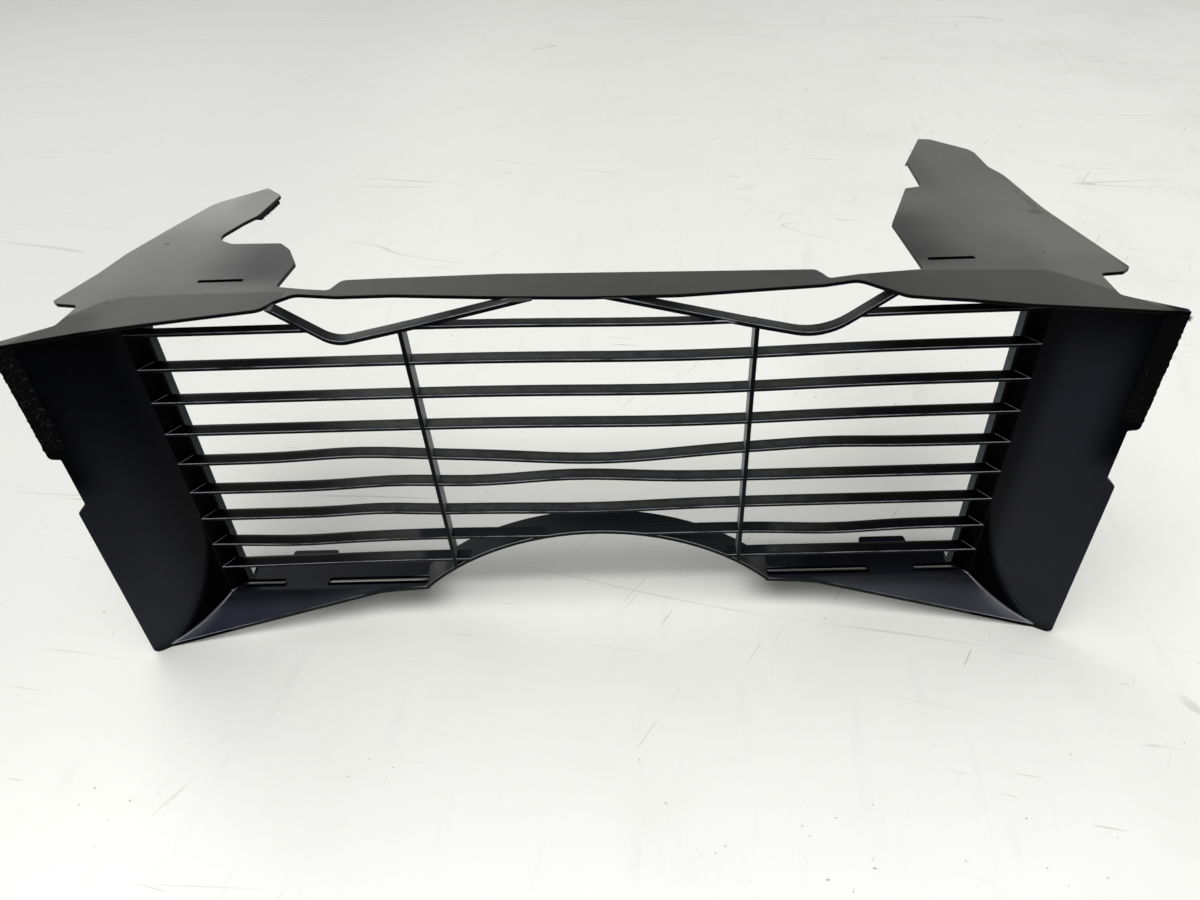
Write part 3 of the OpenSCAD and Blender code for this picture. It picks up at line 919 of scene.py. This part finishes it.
@dataclass
class FeltStrip:
    """A strip of felt that stands for a plain CAD one, with a matted body and loose fibres."""

    node: str
    fibres: int = 900
    long_fibres: int = 26
    lint: int = 60
    tuft: int = 0
    overhang: float = 0.0
    matting: float = 0.9
    seed: int = 1
    mesh_step: float = 0.0007
    cut_slack: float = 1e-7
    same_place: float = 1e-6
    least_width: float = 1e-3
    fine_length: float = 0.0015
    fine_radius: float = 0.00005
    long_radius: float = 0.00007

    def axes(self, corners: list[Vector]) -> tuple[Vector, list[Vector], list[float]]:
        """Finds the middle, the directions and the half sizes of the CAD strip.

        Args:
            corners: The CAD strip's corners.

        Returns:
            The middle, the directions (along, across, out of the glued face) and the half sizes.
        """
        middle = sum(corners, Vector()) / len(corners)
        spans = sorted(((a - b for a in corners for b in corners)), key=lambda span: span.length)
        out = next(span for span in spans if span.length > self.same_place).normalized()
        if out.y + out.z > 0:
            out = -out
        rest = [span - out * span.dot(out) for span in spans]
        along = max(rest, key=lambda span: span.length)
        across = next(span for span in rest if span.length > self.least_width).normalized()
        if across.x * middle.x < 0:
            across = -across
        along = (along - across * along.dot(across)).normalized()
        if along.z < 0:
            along = -along
        frame = [along, across, out]
        half = [max(abs((c - middle).dot(axis)) for c in corners) for axis in frame]
        return middle, frame, half

    def matted(
        self, source: bpy.types.Mesh, middle: Vector, frame: list[Vector], half: list[float]
    ) -> bmesh.types.BMesh:
        """Cuts the CAD strip finely and roughens all but its glued face.

        Args:
            source: Mesh of the CAD strip.
            middle: Its middle.
            frame: Its directions.
            half: Its half sizes.

        Returns:
            The roughened mesh.
        """
        body = bmesh.new()
        body.from_mesh(source)
        for axis, size in zip(frame, half):
            cuts = max(2, round(2 * size / self.mesh_step))
            for cut in range(1, cuts):
                place = middle + axis * (2 * size * cut / cuts - size)
                parts = body.verts[:] + body.edges[:] + body.faces[:]
                bmesh.ops.bisect_plane(
                    body, geom=parts, dist=self.cut_slack, plane_co=place, plane_no=axis)
        # Coarse and fine waves, in millimetres, that fade towards the glued face. The seed keeps
        # them the same in each run.
        noise.seed_set(self.seed)
        for vertex in body.verts:
            place = vertex.co * MM_PER_METRE
            coarse, fine = noise.noise_vector(place * 0.55), noise.noise_vector(place * 1.7)
            rough = coarse * 0.45 + fine * 0.25
            level = (vertex.co - middle).dot(frame[2]) / half[2] * 0.5 + 0.5
            lift = max(rough.z, -0.25) * level
            beside = (vertex.co - middle).dot(frame[1]) / half[1]
            ragged = self.overhang * max(0.0, beside) ** 4 * (0.75 + rough.x * 1.2)
            move = frame[0] * rough.x + frame[1] * (rough.y * 0.9 + ragged)
            vertex.co += (move + frame[2] * lift) * MM * self.matting
        return body

    def hair(
        self, body: bmesh.types.BMesh, root: Vector, way: Vector, length: float, rng: random.Random
    ) -> list[bmesh.types.BMVert]:
        """Grows one thin bent fibre as a closed tapered tube.

        Args:
            body: Mesh that gets the fibre.
            root: Where it starts.
            way: Direction in which it starts.
            length: Its length in metres.
            rng: Source of chance.

        Returns:
            The fibre's vertices.
        """
        steps = 3 if length < self.fine_length else 6
        radius = self.fine_radius if length < self.fine_length else self.long_radius
        bend = scatter(rng) * 0.5
        place, heading, rings, made = root.copy(), way.normalized(), [], []
        for step in range(steps + 1):
            side = heading.orthogonal().normalized()
            turn = heading.cross(side)
            size = radius * (1 - 0.75 * step / steps)
            ring = [
                body.verts.new(place + (side * math.cos(a) + turn * math.sin(a)) * size)
                for a in (0.0, math.tau / 3, 2 * math.tau / 3)]
            rings.append(ring)
            made += ring
            place = place + heading * length / steps
            heading = (heading + bend / steps).normalized()
        for low, high in zip(rings, rings[1:]):
            for i in range(3):
                j = (i + 1) % 3
                body.faces.new((low[i], low[j], high[j], high[i]))
        body.faces.new(rings[0][::-1])
        body.faces.new(rings[-1])
        return made

    def make(self, material: bpy.types.Material) -> bpy.types.Object:
        """Builds the strip and puts it in the place of the CAD one.

        Args:
            material: Felt finish.

        Returns:
            The finished piece.
        """
        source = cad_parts[self.node].data
        middle, frame, half = self.axes([v.co.copy() for v in source.vertices])
        along, across, out = (axis * size for axis, size in zip(frame, half))
        body = self.matted(source, middle, frame, half)
        mark = body.verts.layers.float.new("lint")
        rng = random.Random(self.seed)
        kinds = [
            Fibres(self.fibres, 0.0004, 0.0010), Fibres(self.long_fibres, 0.0014, 0.0032),
            Fibres(self.lint, 0.0008, 0.0026, pale=0.7)]
        # Most dark fibres grow from the long edges; pale ones lie flat on the face.
        for kind in kinds:
            for _ in range(kind.count):
                u, v, w = rng.uniform(-1, 1), rng.uniform(-1, 1), rng.uniform(-0.2, 1)
                if not kind.pale and rng.random() < 0.75:
                    v = math.copysign(1.0, v) if rng.random() < 0.85 else v
                root = middle + along * u + across * v * 0.97 + out * w * 0.9
                beside = math.copysign(0.9, v) if abs(v) > 0.9 else 0.0
                way = frame[1] * beside + frame[2] * 0.5 + scatter(rng) * 0.5
                if kind.pale:
                    root += out * 0.5
                    way = frame[0] * rng.gauss(0, 1) + frame[1] * rng.gauss(0, 1) + frame[2] * 0.1
                length = rng.uniform(kind.shortest, kind.longest)
                for vertex in self.hair(body, root, way, length, rng):
                    vertex[mark] = kind.pale * rng.uniform(0.6, 1.0) if kind.pale else 0.0
        for _ in range(self.tuft):
            root = middle + along * rng.uniform(0.93, 1.0) + across * rng.uniform(0.8, 1.0)
            way = frame[1] + Vector((rng.gauss(0, 0.3), rng.gauss(0, 0.3), rng.gauss(0.1, 0.4)))
            self.hair(body, root, way, rng.uniform(0.0010, 0.0028), rng)
        mesh = bpy.data.meshes.new(f"{self.node}_fuzzy")
        bmesh.ops.recalc_face_normals(body, faces=body.faces[:])
        body.to_mesh(mesh)
        body.free()
        piece = bpy.data.objects.new(mesh.name, mesh)
        bpy.context.scene.collection.objects.link(piece)
        mesh.materials.append(material)
        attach(piece, "root")
        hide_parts(self.node)
        return piece


@dataclass(frozen=True)
class PaintedFloor:
    """White painted floor with faint marks; painted light in front, painted shadow under the part.

    Indirect light meets a plainer colour, which is dim in front of the part.
    """

    plain: Colour = srgb("e9e9e4")
    # Painted light: brighter to the right and in front, darker to the left.
    right: Colour = srgb("fcfcf7")
    left: Colour = srgb("d6d7d3")
    front: Colour = srgb("fdfdf9")
    cloud: Colour = srgb("dcdcd6")
    brushed: Colour = srgb("d9dad6")
    fissure: Colour = srgb("a9a9a2")
    chip: Colour = srgb("6b6b66")
    scratch: Colour = srgb("a2a29c")
    # Painted shadow on the floor behind the moulding, darker close to it.
    under: Colour = srgb("6e706c")
    # Painted shadow on the floor under the bottom sheets.
    shade: Colour = srgb("141412")
    dim: Colour = srgb("606060")
    clouds: Pattern = Pattern(5.0, 4.0, 0.6, low=0.45, high=0.75, share=0.25)
    strokes: Pattern = Pattern(
        detail=4.0, rough=0.65, low=0.55, high=0.8, share=0.35, stretch=(60.0, 9.0, 1.0), turn=8.0)
    fissures: tuple[tuple[Pattern, Pattern], ...] = (
        (Pattern(rough=0.35, low=0.0012, high=0.00042, stretch=(6.0, 0.45, 1.0), turn=-82.0,
                 shift=(17.0, 11.9, 0.0)), Pattern(7.0, low=0.5, high=0.62, share=0.36)),
        (Pattern(rough=0.35, low=0.0016, high=0.00056, stretch=(10.4, 0.78, 1.0), turn=-74.0,
                 shift=(5.0, 3.5, 0.0)), Pattern(8.1, low=0.5, high=0.62, share=0.36)))
    chips: Pattern = Pattern(240.0, rough=0.6, low=0.715, high=0.74, share=0.6)
    chipped: Pattern = Pattern(12.0, low=0.48, high=0.6)
    steep: Pattern = Pattern(low=0.70, high=0.74, stretch=(420.0, 14.0, 1.0), turn=34.0)
    level: Pattern = Pattern(low=0.70, high=0.74, stretch=(16.0, 380.0, 1.0), turn=12.0)
    scratched: Pattern = Pattern(7.0, low=0.46, high=0.58, share=0.45)
    front_light: Span = (0.2, 0.8)
    below_shade: Span = (0.25, 0.2)
    roughness: float = 0.7
    specular: float = 0.2
    light_to_right: Rise = Rise(X, -0.1, 0.75)
    shade_to_left: Zone = Zone((Rise(X, -0.12, -0.42),), 0.6)
    light_to_front: Rise = Rise(Y, -0.02, -0.3)
    from_left: Rise = Rise(X, -0.42, -0.18)
    behind: Rise = Rise(Y, -0.32, -0.08)
    # Behind the moulding, where painted shadow lies.
    below: Zone = Zone((Rise(BACK, 0.02, 0.03), Rise(BACK, 0.18, 0.10), Rise(ACROSS, 0.26, 0.18)))
    below_front: Rise = Rise(BACK, 0.06, 0.03)
    # Under the bottom sheets, where painted shadow lies.
    sheets: Zone = Zone(
        (Rise(ACROSS, 0.075, 0.105), Rise(ACROSS, 0.235, 0.19), Rise(BACK, -0.002, 0.017),
         Rise(BACK, 0.056, 0.022)), 0.75)

    def tones(self, s: Surface) -> Output:
        """Paints wide pools of light and shade on the floor, with faint clouds and brush strokes.

        Args:
            s: Surface of the floor.

        Returns:
            The floor colour with painted light, without marks.
        """
        g = s.g
        # Painted light: brighter to the right and in front, darker to the left.
        paint = g.coat(self.plain, self.right, self.light_to_right.mask(s))
        paint = self.shade_to_left.paint(s, paint, self.left)
        lit = g.raised(self.from_left.mask(s), *self.front_light)
        paint = g.coat(paint, self.front, self.light_to_front.mask(s), lit)
        clouds = self.clouds.mask(g, s.where)
        paint = g.coat(paint, self.cloud, clouds, self.clouds.share)
        return g.coat(paint, self.brushed, self.strokes.mask(g, s.where), self.strokes.share)

    def marks(self, s: Surface, paint: Output) -> Output:
        """Adds faint fissures, chips and scratches.

        Args:
            s: Surface of the floor.
            paint: Colour so far.

        Returns:
            The colour with the marks.
        """
        g, where = s.g, s.where
        for flow, patch in self.fissures:
            line = g.ramp(g.off(flow.noise(g, where), 0.5), flow.low, flow.high)
            paint = g.coat(paint, self.fissure, line, patch.mask(g, where), patch.share)
        chips, chipped = self.chips.mask(g, where), self.chipped.mask(g, where)
        paint = g.coat(paint, self.chip, chips, chipped, self.chips.share)
        scratches = g.maths(Op.HIGH, self.steep.mask(g, where), self.level.mask(g, where))
        scratched = self.scratched.mask(g, where)
        return g.coat(paint, self.scratch, scratches, scratched, self.scratched.share)

    def build(self) -> bpy.types.Material:
        """Makes the material.

        Returns:
            The node material.
        """
        material = bpy.data.materials.new("painted_floor")
        material.use_nodes = True
        g = Graph(material.node_tree)
        s = Surface(g)
        paint = self.marks(s, self.tones(s))
        # Painted shadow on the floor behind the moulding, darker close to it.
        darker = g.raised(self.below_front.mask(s), *self.below_shade)
        paint = g.coat(paint, self.under, self.below.mask(s), darker)
        # Painted shadow on the floor under the bottom sheets.
        paint = self.sheets.paint(s, paint, self.shade)
        colour = g.coat(self.dim, self.plain, self.behind.mask(s))
        seen = g.node("LightPath").outputs["Is Camera Ray"]
        g.finish({
            "Base Color": g.coat(colour, paint, seen), "Roughness": self.roughness,
            "Specular IOR Level": self.specular})
        return material


@dataclass
class Studio:
    """Pale floor, soft light and the camera at the photograph's place.

    The camera's place is in millimetres and its angles are in radians.
    """

    floor: PaintedFloor = field(default_factory=PaintedFloor)
    floor_reach: float = 6.0
    backdrop: Colour = srgb("e4e4df")
    lens: float = 27.0
    sensor: float = 36.0
    place: Point = (13.886, -401.708, 386.148)
    pitch: float = 0.686886
    yaw: float = 0.0273949
    roll: float = -0.0445424

    def camera(self) -> None:
        """Sets the camera where the photograph was taken from."""
        level = Vector((math.cos(self.yaw), math.sin(self.yaw), 0.0))
        flat, down = math.cos(self.pitch), math.sin(self.pitch)
        ahead = Vector((-math.sin(self.yaw) * flat, math.cos(self.yaw) * flat, -down))
        above = level.cross(ahead)
        right = level * math.cos(self.roll) + above * math.sin(self.roll)
        up = above * math.cos(self.roll) - level * math.sin(self.roll)
        data = bpy.data.cameras.new("camera")
        data.lens, data.sensor_width = self.lens, self.sensor
        data.clip_start, data.clip_end = 0.01, 50.0
        holder = bpy.data.objects.new("camera", data)
        bpy.context.scene.collection.objects.link(holder)
        turn = Matrix((right, up, -ahead)).transposed().to_4x4()
        holder.matrix_world = Matrix.Translation(Vector(self.place) * MM) @ turn
        bpy.context.scene.camera = holder

    def ground(self) -> None:
        """Lays the pale floor."""
        far = self.floor_reach
        mesh = bpy.data.meshes.new("floor")
        corners = [(-far, -far, 0), (far, -far, 0), (far, far, 0), (-far, far, 0)]
        mesh.from_pydata(corners, [], [(0, 1, 2, 3)])
        floor = bpy.data.objects.new("floor", mesh)
        bpy.context.scene.collection.objects.link(floor)
        mesh.materials.append(self.floor.build())

    def sky(self) -> None:
        """Makes the soft room light: bright behind the part and above, dim in front."""
        world = bpy.data.worlds.new("room")
        bpy.context.scene.world = world
        world.use_nodes = True
        g = Graph(world.node_tree)
        toward = g.node("TexCoord").outputs["Generated"]
        x, y, z = g.node("SeparateXYZ", {0: toward}).outputs
        behind, low = g.ramp(y, 0.0, 0.5), g.ramp(z, 0.62, 0.42)
        side = g.raised(g.ramp(x, 0.05, -0.4), 0.9, 1.3)
        above = g.product(g.ramp(z, 0.7, 1.0), 0.5)
        strength = g.total(0.22, g.product(behind, low, side), above)
        white = {"Color": (1.0, 1.0, 1.0), "Strength": strength}
        light = g.node("Background", white).outputs[0]
        seen = g.node("Background", {"Color": self.backdrop, "Strength": 1.0}).outputs[0]
        ray = g.node("LightPath").outputs["Is Camera Ray"]
        both = g.node("MixShader", {0: ray, 1: light, 2: seen}).outputs[0]
        g.node("OutputWorld", {"Surface": both})

    def lamp(self, name: str, place: Point, target: Point, size: float, power: float) -> None:
        """Hangs one large soft lamp.

        Args:
            name: Name of the lamp.
            place: Where it hangs, in metres.
            target: What it points at, in metres.
            size: Side of its square face, in metres.
            power: Power in watts.
        """
        data = bpy.data.lights.new(name, "AREA")
        data.shape, data.size, data.energy = "SQUARE", size, power
        holder = bpy.data.objects.new(name, data)
        bpy.context.scene.collection.objects.link(holder)
        holder.location = place
        holder.rotation_mode = "QUATERNION"
        holder.rotation_quaternion = (Vector(target) - Vector(place)).to_track_quat("-Z", "Y")

    def make(self) -> None:
        """Builds camera, floor and light."""
        self.camera()
        self.ground()
        self.sky()
        self.lamp("overhead", (-0.15, -0.55, 1.5), (0.0, -0.1, 0.1), size=1.1, power=16.0)
        self.lamp("back_left", (-0.9, 1.0, 1.3), (0.0, 0.1, 0.1), size=0.9, power=5.0)
        bpy.context.scene.view_settings.view_transform = "Standard"


def main() -> None:
    """Builds the studio and the dressed part, and reports each piece."""
    logging.basicConfig(level=logging.INFO, format="%(name)s: %(message)s")
    Studio().make()
    moulding = Moulding().dress()
    edge_felt = Felt().build()
    even_felt = Felt("even_black_felt", specks=0.04, nap=0.0002).build()
    # The wing-tip felt is a lighter copy of the black felt, standing in for strong light from
    # behind.
    lit_tip_felt = Felt("back_lit_felt", body=srgb("1c1c1c"), lint=srgb("6a6a68")).build()
    left_edge = FeltStrip("left_edge_felt", lint=120, overhang=1.2, matting=0.6, seed=2)
    right_edge = FeltStrip(
        "right_edge_felt", fibres=1500, lint=9, tuft=90, overhang=2.6, matting=0.35, seed=3)
    pieces = [moulding, left_edge.make(edge_felt), right_edge.make(even_felt)]
    for seed, node in enumerate(("left_wing_felt", "right_wing_felt"), start=4):
        tip = FeltStrip(node, fibres=420, long_fibres=12, lint=4, overhang=0.6, seed=seed)
        pieces.append(tip.make(lit_tip_felt))
    for piece in pieces:
        LOG.info("%s: %d faces", piece.name, len(piece.data.polygons))


if __name__ == "__main__":
    main()
